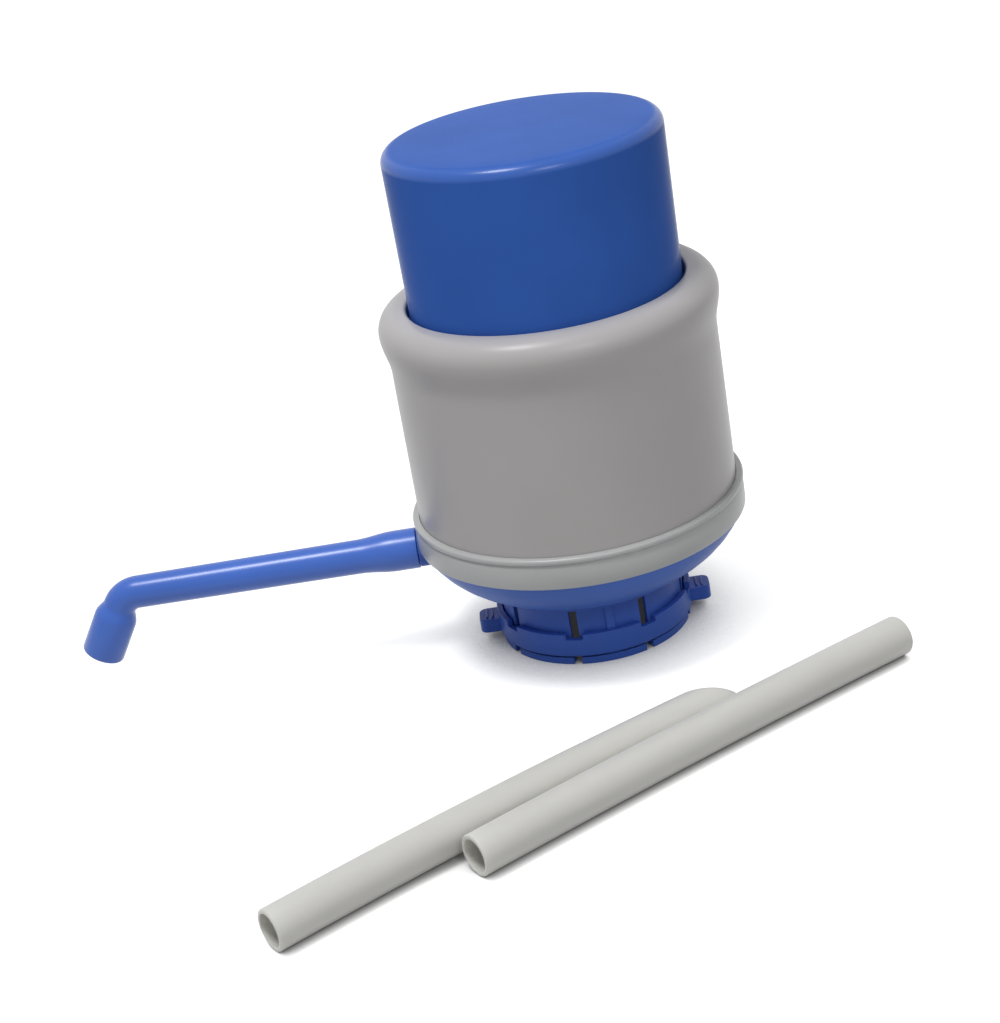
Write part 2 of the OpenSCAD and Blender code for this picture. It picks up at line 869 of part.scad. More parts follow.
// The far end is cut at a slant, so that it can't close itself on the bottom of the jug
module dip_tube_left() {
    side = tube_r + over;
    lead = foot_cut * over / (2 * tube_r);
    color(c_tube) lay_tube(-tube_shift / 2, tube_r + tube_gap / 2) {
        difference() {
            dip_tube(tube_len + over);
            translate([tube_len, 0, -side]) {
                linear_extrude(2 * side) {
                    polygon([[lead, -side], [foot_cut, -side], [foot_cut, side], [-foot_cut - lead, side]]);
                }
            }
        }
    }
}

module dip_tube_right() {
    color(c_tube) lay_tube(tube_shift / 2, -tube_r - tube_gap / 2) {
        dip_tube(tube_len);
    }
}

press_cap();
bellows_top_plate();
intake_valve();
bellows();
return_spring();
barrel();
barrel_screws();
trim_ring();
valve_deck();
deck_seal();
outlet_valve();
bellows_clamp_ring();
clamp_screws();
base();
water_elbow();
elbow_seal();
elbow_nut();
spout_socket();
neck_gasket();
neck_collar();
collar_screws();
lock_ring();
spout();
spout_o_ring();
dip_tube_left();
dip_tube_right();
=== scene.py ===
import math

import bmesh
import bpy
from mathutils import Matrix, Vector


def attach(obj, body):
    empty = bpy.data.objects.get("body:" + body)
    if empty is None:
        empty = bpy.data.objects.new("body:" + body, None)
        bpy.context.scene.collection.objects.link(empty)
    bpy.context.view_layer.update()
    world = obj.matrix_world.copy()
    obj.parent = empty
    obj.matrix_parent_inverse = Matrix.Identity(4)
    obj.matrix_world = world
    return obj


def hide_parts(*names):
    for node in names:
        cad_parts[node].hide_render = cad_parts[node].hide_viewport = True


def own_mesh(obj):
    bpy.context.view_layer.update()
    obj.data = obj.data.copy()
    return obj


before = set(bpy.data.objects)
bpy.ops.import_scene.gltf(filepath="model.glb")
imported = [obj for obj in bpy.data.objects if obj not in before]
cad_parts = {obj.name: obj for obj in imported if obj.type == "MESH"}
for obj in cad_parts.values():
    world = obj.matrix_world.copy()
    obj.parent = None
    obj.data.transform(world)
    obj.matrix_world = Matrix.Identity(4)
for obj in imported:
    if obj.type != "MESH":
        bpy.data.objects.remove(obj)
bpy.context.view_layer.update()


# Press cap: the glossy blue cap that the palm pushes down. It is one polypropylene moulding with a plain
# flat top, a slightly tapered wall, a foot flange that stops it under the barrel's mouth, and a boss
# inside that holds the plate of the bellows.

def turned(bm, outline, steps=192, about=(0, 0, 0)):
    """Spins an outline of (radius, height) points once round an upright axis; it may start and end on it."""
    x, y, z = about
    corners = [bm.verts.new((x + r, y, z + h)) for r, h in outline]
    ends_on_axis = outline[0][0] == 0 and outline[-1][0] == 0
    follow = corners[1:] if ends_on_axis else corners[1:] + corners[:1]
    lines = [bm.edges.new(pair) for pair in zip(corners, follow)]
    bmesh.ops.spin(bm, geom=corners + lines, cent=about, axis=(0, 0, 1), angle=math.tau, steps=steps,
                   use_merge=True)
    bmesh.ops.remove_doubles(bm, verts=bm.verts[:], dist=1e-7)


def round_off(bm, radius, height, rounding, segments=6):
    """Rounds the edge that runs round a turned shape at one radius and height."""
    edge = [e for e in bm.edges
            if all(abs(v.co.xy.length - radius) < 2e-5 and abs(v.co.z - height) < 2e-5 for v in e.verts)]
    bmesh.ops.bevel(bm, geom=edge, offset=rounding, offset_type="OFFSET", segments=segments, profile=0.5,
                    affect="EDGES", material=-1, clamp_overlap=True)


def made(bm, name, finish, body, stands_for=(), edge=0.0):
    """Turns a mesh into a piece: softens its edges, gives it its finish and lets it ride on a body."""
    bmesh.ops.recalc_face_normals(bm, faces=bm.faces[:])
    for face in bm.faces:
        face.smooth = True
    mesh = bpy.data.meshes.new(name)
    bm.to_mesh(mesh)
    bm.free()
    mesh.set_sharp_from_angle(angle=math.radians(32))
    mesh.materials.append(finish)
    piece = bpy.data.objects.new(name, mesh)
    bpy.context.scene.collection.objects.link(piece)
    if edge:
        soft = piece.modifiers.new("soft edges", "BEVEL")
        soft.width = edge
        soft.segments = 2
        soft.limit_method = "ANGLE"
        soft.angle_limit = math.radians(40)
        soft.harden_normals = True
    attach(piece, body)
    if stands_for:
        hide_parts(*stands_for)
    return piece


def moulded(name, colour, drift, roughness, streaks=(60, 60, 60), grain=1400, dent=0.00001, shine=0.5):
    """Plastic as it leaves the mould: its colour and gloss drift a little, and its skin has a fine grain."""
    finish = bpy.data.materials.new(name)
    finish.use_nodes = True
    nodes, links = finish.node_tree.nodes, finish.node_tree.links
    shader = nodes["Principled BSDF"]
    place = nodes.new("ShaderNodeTexCoord")

    cloud = nodes.new("ShaderNodeTexNoise")
    cloud.inputs["Scale"].default_value = 24
    cloud.inputs["Detail"].default_value = 3
    links.new(place.outputs["Object"], cloud.inputs["Vector"])
    shades = nodes.new("ShaderNodeValToRGB")
    shades.color_ramp.elements[0].position = 0.3
    shades.color_ramp.elements[1].position = 0.72
    shades.color_ramp.elements[0].color = (*[c * (1 - drift) for c in colour], 1)
    shades.color_ramp.elements[1].color = (*[c * (1 + drift) for c in colour], 1)
    links.new(cloud.outputs["Fac"], shades.inputs["Fac"])
    links.new(shades.outputs["Color"], shader.inputs["Base Color"])

    along = nodes.new("ShaderNodeMapping")
    along.inputs["Scale"].default_value = streaks
    links.new(place.outputs["Object"], along.inputs["Vector"])
    rub = nodes.new("ShaderNodeTexNoise")
    rub.inputs["Scale"].default_value = 1
    rub.inputs["Detail"].default_value = 5
    rub.inputs["Roughness"].default_value = 0.65
    links.new(along.outputs["Vector"], rub.inputs["Vector"])
    gloss = nodes.new("ShaderNodeMapRange")
    gloss.inputs["From Min"].default_value = 0.35
    gloss.inputs["From Max"].default_value = 0.7
    gloss.inputs["To Min"].default_value = roughness * 0.93
    gloss.inputs["To Max"].default_value = roughness * 1.12
    links.new(rub.outputs["Fac"], gloss.inputs["Value"])
    links.new(gloss.outputs["Result"], shader.inputs["Roughness"])

    skin = nodes.new("ShaderNodeTexNoise")
    skin.inputs["Scale"].default_value = grain
    skin.inputs["Detail"].default_value = 2
    links.new(place.outputs["Object"], skin.inputs["Vector"])
    relief = nodes.new("ShaderNodeBump")
    relief.inputs["Strength"].default_value = 0.5
    relief.inputs["Distance"].default_value = dent
    links.new(skin.outputs["Fac"], relief.inputs["Height"])
    links.new(relief.outputs["Normal"], shader.inputs["Normal"])

    shader.inputs["IOR"].default_value = 1.49
    shader.inputs["Specular IOR Level"].default_value = shine
    return finish


cap_top = 0.168
cap_top_r = 0.0436
cap_foot = 0.0982
cap_foot_r = 0.0430
cap_wall = 0.0024
cap_ceiling = 0.1654
flat_r = 0.034
cap_round = 0.0038
ceiling_round = 0.0026
flange_r = 0.0470
flange_top = 0.1006
flange_root = 0.0005
gap_half = 5.3
boss_foot = 0.1614
boss_r = 0.0265
rib_middle_r = 0.01775
rib_middle = 0.16445
rib_size = (0.0195, 0.0016, 0.0021)

cap = bmesh.new()
turned(cap, [(0, cap_top), (flat_r, cap_top), (cap_top_r, cap_top), (cap_foot_r, flange_top),
             (cap_foot_r + flange_root, flange_top), (cap_foot_r + flange_root, cap_foot),
             (cap_foot_r - cap_wall, cap_foot), (cap_top_r - cap_wall, cap_ceiling),
             (boss_r + cap_wall, cap_ceiling), (boss_r + cap_wall, boss_foot),
             (boss_r, boss_foot), (boss_r, cap_ceiling), (0, cap_ceiling)])
round_off(cap, cap_top_r, cap_top, cap_round, segments=12)
round_off(cap, cap_top_r - cap_wall, cap_ceiling, ceiling_round)
for quarter in range(4):
    # a quarter of the flange, between two gaps
    start, sweep = math.radians(gap_half + 45 + 90 * quarter), math.radians(90 - 2 * gap_half)
    section = [cap.verts.new((r * math.cos(start), r * math.sin(start), z))
               for r, z in ((cap_foot_r, cap_foot), (flange_r, cap_foot),
                            (flange_r, flange_top), (cap_foot_r, flange_top))]
    face = cap.faces.new(section)
    bmesh.ops.spin(cap, geom=[face], cent=(0, 0, 0), axis=(0, 0, 1), angle=sweep, steps=36)
for eighth in range(8):
    rib = bmesh.ops.create_cube(cap, size=1)["verts"]
    bmesh.ops.scale(cap, vec=rib_size, verts=rib)
    bmesh.ops.translate(cap, vec=(rib_middle_r, 0, rib_middle), verts=rib)
    bmesh.ops.rotate(cap, cent=(0, 0, 0), matrix=Matrix.Rotation(eighth * math.tau / 8, 3, "Z"), verts=rib)

cap_blue = moulded("cap blue plastic", (0.042, 0.130, 0.500), 0.08, 0.20, streaks=(40, 40, 30),
                   dent=0.000003, shine=0.008)
# The rounded rim, which the palm has polished, shines the most: a clear coat that fades out at its ends.
cap_nodes, cap_links = cap_blue.node_tree.nodes, cap_blue.node_tree.links
spot = cap_nodes.new("ShaderNodeTexCoord")
height = cap_nodes.new("ShaderNodeSeparateXYZ")
cap_links.new(spot.outputs["Object"], height.inputs["Vector"])
from_top = cap_nodes.new("ShaderNodeMapRange")
from_top.inputs["From Min"].default_value = cap_top - cap_round
from_top.inputs["From Max"].default_value = cap_top
cap_links.new(height.outputs["Z"], from_top.inputs["Value"])
rim = cap_nodes.new("ShaderNodeValToRGB")
for share in (0.25, 0.85):
    rim.color_ramp.elements.new(share).color = (0.6, 0.6, 0.6, 1)
rim.color_ramp.elements[0].color = rim.color_ramp.elements[-1].color = (0, 0, 0, 1)
cap_links.new(from_top.outputs["Result"], rim.inputs["Fac"])
cap_shader = cap_nodes["Principled BSDF"]
cap_links.new(rim.outputs["Color"], cap_shader.inputs["Coat Weight"])
cap_shader.inputs["Coat Roughness"].default_value = 0.26
made(cap, "cap_shell", cap_blue, "cap", ["press_cap"], edge=0.0003)


# Barrel: the off-white outer shell, one polypropylene moulding with a proud rounded shoulder round the
# mouth that the cap slides in. A sleeve under the mouth guides the cap, and four ears at the foot are
# screwed down.

def eased(start, end, steps=8):
    """Gives the points of a smooth step between two points, even along its way and a cosine wave across."""
    shares = [step / steps for step in range(1, steps + 1)]
    return [(start[0] + (end[0] - start[0]) * share,
             start[1] + (end[1] - start[1]) * (1 - math.cos(math.pi * share)) / 2) for share in shares]


barrel_foot = 0.046
barrel_r = 0.0518
barrel_in_r = 0.0496
foot_in_r = 0.0466
foot_rim_top = 0.048
mouth_top = 0.118
mouth_r = 0.0440
mouth_round = 0.0012
shoulder_foot = 0.099
shoulder_r = 0.0538
shoulder_round = 0.007
round_room = 0.0002
sleeve_r = 0.0456
sleeve_foot = 0.101
hollow_foot = 0.1105
hollow_r = 0.0516
hollow_top = 0.1158
hollow_round = 0.0048
screw_circle_r = 0.0445
ear_r = 0.0042
ear_hole_r = 0.0016
ear_h = 0.0024

crest_foot = mouth_top - shoulder_round
swell = eased((shoulder_foot, barrel_r), (crest_foot, shoulder_r))
barrel = bmesh.new()
turned(barrel, [(foot_in_r, barrel_foot), (barrel_r, barrel_foot), (barrel_r, shoulder_foot)]
       + [(r, z) for z, r in swell[:-1]]
       + [(shoulder_r, crest_foot - round_room), (shoulder_r, mouth_top), (mouth_r, mouth_top),
          (mouth_r, sleeve_foot), (sleeve_r, sleeve_foot), (sleeve_r, hollow_top), (hollow_r, hollow_top),
          (hollow_r, hollow_foot), (barrel_in_r, shoulder_foot), (barrel_in_r, foot_rim_top),
          (foot_in_r, foot_rim_top)])
round_off(barrel, shoulder_r, mouth_top, shoulder_round, segments=14)
round_off(barrel, mouth_r, mouth_top, mouth_round, segments=5)
round_off(barrel, hollow_r, hollow_top, hollow_round)
for quarter in range(4):
    turn = math.radians(45 + 90 * quarter)
    turned(barrel, [(ear_hole_r, 0), (ear_r, 0), (ear_r, ear_h), (ear_hole_r, ear_h)], 24,
           about=(screw_circle_r * math.cos(turn), screw_circle_r * math.sin(turn), barrel_foot))
barrel_white = moulded("barrel white plastic", (0.485, 0.470, 0.470), 0.02, 0.34, streaks=(70, 70, 20),
                       shine=0.28)
made(barrel, "barrel_shell", barrel_white, "housing", ["barrel"], edge=0.0002)


# Barrel screws, clamp screws and collar screws: zinc-plated pan-head screws of steel, in three groups of
# four. They hold the barrel and deck to the base, the bellows' clamp ring to the deck, and the neck collar
# to the base.

def plated_steel(name):
    """Zinc-plated steel: bright, with a slight blue cast and fine turning marks."""
    finish = bpy.data.materials.new(name)
    finish.use_nodes = True
    nodes, links = finish.node_tree.nodes, finish.node_tree.links
    shader = nodes["Principled BSDF"]
    place = nodes.new("ShaderNodeTexCoord")
    marks = nodes.new("ShaderNodeTexNoise")
    marks.inputs["Scale"].default_value = 900
    marks.inputs["Detail"].default_value = 4
    links.new(place.outputs["Object"], marks.inputs["Vector"])
    tint = nodes.new("ShaderNodeValToRGB")
    tint.color_ramp.elements[0].color = (0.42, 0.44, 0.47, 1)
    tint.color_ramp.elements[1].color = (0.66, 0.67, 0.68, 1)
    links.new(marks.outputs["Fac"], tint.inputs["Fac"])
    links.new(tint.outputs["Color"], shader.inputs["Base Color"])
    relief = nodes.new("ShaderNodeBump")
    relief.inputs["Strength"].default_value = 0.3
    relief.inputs["Distance"].default_value = 0.00002
    links.new(marks.outputs["Fac"], relief.inputs["Height"])
    links.new(relief.outputs["Normal"], shader.inputs["Normal"])
    shader.inputs["Metallic"].default_value = 1
    shader.inputs["Roughness"].default_value = 0.34
    return finish


def finished(node, finish):
    """Gives a part that keeps its CAD shape one finish all over."""
    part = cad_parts[node]
    part.data.materials.clear()
    part.data.materials.append(finish)


screw_steel = plated_steel("plated screw steel")
for group in ("barrel_screws", "clamp_screws", "collar_screws"):
    finished(group, screw_steel)


# Trim ring: the pale grey plastic ring pressed over the joint of barrel and base. It has a round bead
# along its top edge, a small step under the bead, and a notch in its lower edge that clears the spout's
# bush.

ring_foot = 0.038
ring_top = 0.0482
ring_in_r = 0.05195
ring_out_r = 0.0538
step_foot = 0.0452
step_r = 0.0533
bead_out_r = 0.05405
bead_foot = 0.0462
bush_clear_r = 0.0067
spout_height = 0.036

ring = bmesh.new()
turned(ring, [(ring_in_r, ring_foot), (ring_out_r, ring_foot), (ring_out_r, step_foot), (step_r, bead_foot),
              (bead_out_r, bead_foot), (bead_out_r, ring_top), (ring_in_r, ring_top)], 288)
round_off(ring, ring_out_r, ring_foot, rounding=0.0005, segments=3)
round_off(ring, bead_out_r, bead_foot, rounding=0.0006, segments=5)
round_off(ring, bead_out_r, ring_top, rounding=0.0010, segments=7)
for v in ring.verts:
    if v.co.x < 0 and abs(v.co.y) < bush_clear_r:
        v.co.z = max(v.co.z, spout_height + math.sqrt(bush_clear_r ** 2 - v.co.y ** 2))
ring_grey = moulded("ring grey plastic", (0.450, 0.462, 0.464), 0.025, 0.32)
made(ring, "trim_ring_piece", ring_grey, "housing", ["trim_ring"])


# Base: the blue bowl that carries the whole pump, one polypropylene moulding with a skirt round the neck
# collar, a floor with four air holes, a ledge for the deck, and a port on the left that the spout's bush
# is pressed into.

def drilled(piece, cutters):
    """Joins the shapes a piece is built of and cuts holes through it with rods.

    Each rod is given as (centre, radius, length, axis).
    """
    rods = bmesh.new()
    for centre, radius, length, axis in cutters:
        rod = bmesh.ops.create_cone(rods, cap_ends=True, segments=40, radius1=radius, radius2=radius,
                                    depth=length)["verts"]
        turn = Vector((0, 0, 1)).rotation_difference(Vector(axis)).to_matrix()
        bmesh.ops.rotate(rods, cent=(0, 0, 0), matrix=turn, verts=rod)
        bmesh.ops.translate(rods, vec=centre, verts=rod)
    shape = bpy.data.meshes.new("rods")
    rods.to_mesh(shape)
    rods.free()
    drill = bpy.data.objects.new("rods", shape)
    bpy.context.scene.collection.objects.link(drill)
    cut = piece.modifiers.new("holes", "BOOLEAN")
    cut.object = drill
    cut.operation = "DIFFERENCE"
    cut.solver = "EXACT"
    cut.use_self = True
    bpy.context.view_layer.update()
    bored = bpy.data.meshes.new_from_object(piece.evaluated_get(bpy.context.evaluated_depsgraph_get()))
    piece.modifiers.clear()
    piece.data = bored
    bpy.data.objects.remove(drill)


base_floor = 0.026
base_floor_top = 0.0285
skirt_foot = 0.022
skirt_r = 0.0359
skirt_in_r = 0.0335
bowl_r = 0.0530
bowl_top = 0.0380
ring_seat_r = 0.0518
ledge_r = 0.0473
ledge_foot = 0.0400
ledge_top = 0.0435
bowl_in_r = 0.0502
floor_r = 0.0379
elbow_hole_r = 0.0082
pillar_r = 0.0034
pillar_hole_r = 0.00145
pillar_foot = 0.0325
pillar_h = 0.011
air_hole_r = 0.002
air_circle_r = 0.015
air_hole_middle = 0.027
air_hole_len = 0.008
port_r = 0.0065
port_middle = (-0.047, 0, spout_height)
port_len = 0.024

base = bmesh.new()
turned(base, [(elbow_hole_r, base_floor), (skirt_in_r, base_floor), (skirt_in_r, skirt_foot),
              (skirt_r, skirt_foot), (0.0396, 0.0240), (0.0430, 0.0262), (0.0461, 0.0287), (0.0488, 0.0315),
              (0.0511, 0.0346), (bowl_r, bowl_top), (ring_seat_r, bowl_top), (ring_seat_r, barrel_foot),
              (barrel_in_r, barrel_foot), (barrel_in_r, ledge_top), (ledge_r, ledge_top),
              (ledge_r, ledge_foot), (bowl_in_r, bowl_top), (floor_r, base_floor_top),
              (elbow_hole_r, base_floor_top)])
for quarter in range(4):
    turn = math.radians(45 + 90 * quarter)
    turned(base, [(pillar_hole_r, 0), (pillar_r, 0), (pillar_r, pillar_h), (pillar_hole_r, pillar_h)], 24,
           about=(screw_circle_r * math.cos(turn), screw_circle_r * math.sin(turn), pillar_foot))
base_blue = moulded("base blue plastic", (0.085, 0.182, 0.600), 0.07, 0.34, shine=0.05)
bowl = made(base, "base_bowl", base_blue, "housing", ["base"])
holes = [(port_middle, port_r, port_len, (1, 0, 0))]
for quarter in range(4):
    turn = math.radians(45 + 90 * quarter)
    centre = (air_circle_r * math.cos(turn), air_circle_r * math.sin(turn), air_hole_middle)
    holes.append((centre, air_hole_r, air_hole_len, (0, 0, 1)))
drilled(bowl, holes)
finished("spout_socket", base_blue)


# Neck collar: the dark blue moulded skirt that grips the jug's neck. Eight fingers with a lip round the
# foot hang from a solid band, which is screwed up against the base. Two thin keys on the fingers guide the
# lock ring.

def lengthened(bm, faces, height, inner_r, outer_r):
    """Extrudes ring faces to a new height and sets the radii of the wall there."""
    grown = bmesh.ops.extrude_face_region(bm, geom=faces)["geom"]
    tips = [v for v in grown if isinstance(v, bmesh.types.BMVert)]
    middle = sum(v.co.xy.length for v in tips) / len(tips)
    for v in tips:
        v.co.xy = v.co.xy.normalized() * (inner_r if v.co.xy.length < middle else outer_r)
        v.co.z = height
    bmesh.ops.delete(bm, geom=faces, context="FACES_ONLY")
    return [f for f in grown if isinstance(f, bmesh.types.BMFace)]


def in_gap(face, half_gap):
    """Says whether a face lies within a slot between two fingers, by its angle round the axis."""
    middle = face.calc_center_median()
    past_slot = (math.degrees(math.atan2(middle.y, middle.x)) - slot_turn) % slot_spacing
    return min(past_slot, slot_spacing - past_slot) < half_gap


finger_in_r = 0.0280
finger_out_r = 0.0298
relief_r = 0.0283
grip_top = 0.0095
grip_lead = 0.0003
lip_top = 0.0024
lip_lead = 0.0001
lip_r = 0.0312
band_foot = 0.020
band_r = 0.0333
band_top = 0.026
seat_r = 0.0288
seat_top = 0.024
slot_turn = -105
slot_spacing = 45
slot_half = 2.5
key_turn = -82.5
key_size = (0.0014, 0.0026, 0.0188)
key_middle_r = 0.0300
key_middle = 0.0107

collar = bmesh.new()
turned(collar, [(relief_r, band_foot), (finger_out_r, band_foot), (band_r, band_foot), (band_r, band_top),
                (seat_r, band_top), (seat_r, seat_top), (relief_r, seat_top)], 288)
fingers = [f for f in collar.faces
           if f.calc_center_median().z < band_foot + 1e-5 and f.calc_center_median().xy.length < finger_out_r
           and not in_gap(f, slot_half)]
for foot, inner_r, outer_r in ((grip_top + grip_lead, relief_r, finger_out_r),
                               (grip_top, finger_in_r, finger_out_r), (lip_top, finger_in_r, finger_out_r),
                               (lip_top - lip_lead, finger_in_r, lip_r), (0.0, finger_in_r, lip_r)):
    fingers = lengthened(collar, fingers, foot, inner_r, outer_r)
for turn in (key_turn, key_turn + 180):
    key = bmesh.ops.create_cube(collar, size=1)["verts"]
    bmesh.ops.scale(collar, vec=key_size, verts=key)
    bmesh.ops.translate(collar, vec=(key_middle_r, 0, key_middle), verts=key)
    bmesh.ops.rotate(collar, cent=(0, 0, 0), matrix=Matrix.Rotation(math.radians(turn), 3, "Z"), verts=key)
collar_blue = moulded("collar blue plastic", (0.046, 0.122, 0.500), 0.08, 0.36, shine=0.2)
made(collar, "collar", collar_blue, "housing", ["neck_collar"], edge=0.00035)


# Lock ring: the dark blue moulded ring with two ridged thumb lugs. Pushed down to the foot of the fingers,
# as it stands here, it closes them on the neck; notches in its top edge match the slots.

lock_foot = 0.003
lock_top = 0.011
lock_in_r = 0.0302
lock_out_r = 0.0322
notch_foot = 0.0092
notch_half = 5
lead_in = 0.0008
foot_round = 0.0006
lug_root = 0.0310
lug_reach = 0.0385
lug_w = 0.0095
lug_foot = 0.0034
lug_top = 0.0080
lug_round = 0.0025
ridge_size = (0.0008, 0.0065, 0.0009)
ridge_middle = lug_top + 0.0001

lock = bmesh.new()
turned(lock, [(lock_in_r, lock_foot + lead_in), (lock_in_r + lead_in, lock_foot),
              (lock_out_r - foot_round, lock_foot), (lock_out_r, lock_foot + foot_round),
              (lock_out_r, notch_foot), (lock_in_r, notch_foot)], 288)
crown = [f for f in lock.faces if f.calc_center_median().z > notch_foot - 1e-5 and not in_gap(f, notch_half)]
lengthened(lock, crown, lock_top, lock_in_r, lock_out_r)
for side in (0, 180):
    lug = bmesh.ops.create_cube(lock, size=1)["verts"]
    bmesh.ops.scale(lock, vec=(lug_reach - lug_root, lug_w, lug_top - lug_foot), verts=lug)
    bmesh.ops.translate(lock, vec=((lug_reach + lug_root) / 2, 0, (lug_top + lug_foot) / 2), verts=lug)
    outer = [e for e in lock.edges if all(v in lug and v.co.x > (lug_root + lug_reach) / 2 for v in e.verts)
             and abs(e.verts[0].co.z - e.verts[1].co.z) > (lug_top - lug_foot) / 2]
    rounded = bmesh.ops.bevel(lock, geom=outer, offset=lug_round, offset_type="OFFSET", segments=6,
                              profile=0.5, affect="EDGES", material=-1)["verts"]
    tab = set(v for v in lug if v.is_valid) | set(rounded)
    for ridge_r in (0.0341, 0.0359):
        ridge = bmesh.ops.create_cube(lock, size=1)["verts"]
        bmesh.ops.scale(lock, vec=ridge_size, verts=ridge)
        bmesh.ops.translate(lock, vec=(ridge_r, 0, ridge_middle), verts=ridge)
        tab |= set(ridge)
    bmesh.ops.rotate(lock, cent=(0, 0, 0), matrix=Matrix.Rotation(math.radians(side), 3, "Z"),
                     verts=list(tab))
made(lock, "locking_ring_piece", collar_blue, "locking_ring", ["lock_ring"], edge=0.0003)


# Spout: the blue delivery pipe, moulded in one piece. Its grooved spigot turns in the base's bush; outside,
# a flared root eases into a slender pipe, which bends down at its far end into a wider nozzle.

def pipe_skin(bm, radii, bend_at, bend_r, bend, tip, sides=48):
    """Draws one skin of the spout ring by ring and gives the edges of its first and its last ring.

    The rings are (distance, radius) pairs: radii counts from the pump's axis, tip from the end of the bend.
    """
    start, radius = radii[0]
    centre = Vector((-start, 0, spout_height))
    ring_now = bmesh.ops.create_circle(bm, cap_ends=False, segments=sides, radius=radius)["verts"]
    bmesh.ops.rotate(bm, cent=(0, 0, 0), matrix=Matrix.Rotation(math.radians(90), 3, "Y"), verts=ring_now)
    bmesh.ops.translate(bm, vec=centre, verts=ring_now)
    first = edges = list({e for v in ring_now for e in v.link_edges})
    for distance, wanted in radii[1:]:
        grown = bmesh.ops.extrude_edge_only(bm, edges=edges)["geom"]
        verts = [g for g in grown if isinstance(g, bmesh.types.BMVert)]
        edges = [g for g in grown if isinstance(g, bmesh.types.BMEdge)]
        goal = Vector((-distance, 0, spout_height))
        bmesh.ops.translate(bm, vec=goal - centre, verts=verts)
        bmesh.ops.scale(bm, vec=(1, wanted / radius, wanted / radius), space=Matrix.Translation(-goal),
                        verts=verts)
        centre, radius = goal, wanted
    pivot = Vector((-bend_at, 0, spout_height - bend_r))
    grown = bmesh.ops.spin(bm, geom=edges, cent=pivot, axis=(0, 1, 0), angle=-bend, steps=16)["geom_last"]
    edges = [g for g in grown if isinstance(g, bmesh.types.BMEdge)]
    centre = pivot + Matrix.Rotation(-bend, 3, "Y") @ Vector((0, 0, bend_r))
    down = Vector((-math.cos(bend), 0, -math.sin(bend)))
    went = 0.0
    for distance, wanted in tip:
        grown = bmesh.ops.extrude_edge_only(bm, edges=edges)["geom"]
        verts = [g for g in grown if isinstance(g, bmesh.types.BMVert)]
        edges = [g for g in grown if isinstance(g, bmesh.types.BMEdge)]
        centre = centre + down * (distance - went)
        bmesh.ops.translate(bm, vec=down * (distance - went), verts=verts)
        bmesh.ops.scale(bm, vec=(wanted / radius,) * 3, space=Matrix.Translation(-centre), verts=verts)
        went, radius = distance, wanted
    return first, edges


spigot_end = 0.0434
spigot_r = 0.00495
spigot_bore_r = 0.0029
groove_start, groove_end = 0.04765, 0.04935
groove_r = 0.0037
root_start = 0.0543
root_r = 0.0067
root_round = 0.0002
flare_start, flare_end = 0.0618, 0.0743
pipe_root_r = 0.00565
pipe_r = 0.0054
bore_r = 0.0039
bend_x = 0.148
bend_r = 0.008
bend = math.radians(60)
nozzle_step = 0.0045
nozzle_len = 0.0185
nozzle_r = 0.0070
nozzle_bore_r = 0.0055

taper = (pipe_r - pipe_root_r) / (bend_x - flare_end)
spout = bmesh.new()
# outside: the spigot with its ring groove, the flared root, the tapered pipe, then the wider nozzle
outer_ends = pipe_skin(
    spout,
    [(spigot_end, spigot_r), (groove_start, spigot_r), (groove_start, groove_r), (groove_end, groove_r),
     (groove_end, spigot_r), (root_start, spigot_r), (root_start, root_r - root_round),
     (root_start + root_round, root_r), (0.0580, root_r), (flare_start, root_r)]
    + eased((flare_start, root_r), (flare_end, pipe_root_r))
    + [(x, pipe_root_r + taper * (x - flare_end)) for x in (0.080, 0.100, 0.120, 0.140, bend_x)],
    bend_x, bend_r, bend,
    [(0.0006, 0.00552), (0.0015, 0.00592), (0.0026, 0.00644), (0.0036, 0.00682), (nozzle_step, nozzle_r),
     (0.0100, nozzle_r), (0.0178, nozzle_r), (0.0182, 0.00688), (nozzle_len, 0.00665)])
# inside: the bore, which widens past the bush and again in the nozzle
inner_ends = pipe_skin(
    spout,
    [(spigot_end, spigot_bore_r), (0.0538, spigot_bore_r), (0.0548, bore_r), (0.1000, bore_r),
     (bend_x, bore_r)],
    bend_x, bend_r, bend,
    [(0.0010, bore_r), (nozzle_step, nozzle_bore_r), (0.0182, nozzle_bore_r), (nozzle_len, 0.0058)])
for outer, inner in zip(outer_ends, inner_ends):
    bmesh.ops.bridge_loops(spout, edges=outer + inner)
spout_blue = moulded("spout blue plastic", (0.050, 0.155, 0.620), 0.07, 0.28, streaks=(12, 110, 110),
                     dent=0.000006)
made(spout, "spout_pipe", spout_blue, "spout_arm", ["spout"], edge=0.00015)


# Dip tubes: two lengths of milky polyethylene tube cut from a coil, which leaves them a slight bow. They lie
# side by side before the pump; the far end of one is cut at a slant, to stand on the bottom of the jug.

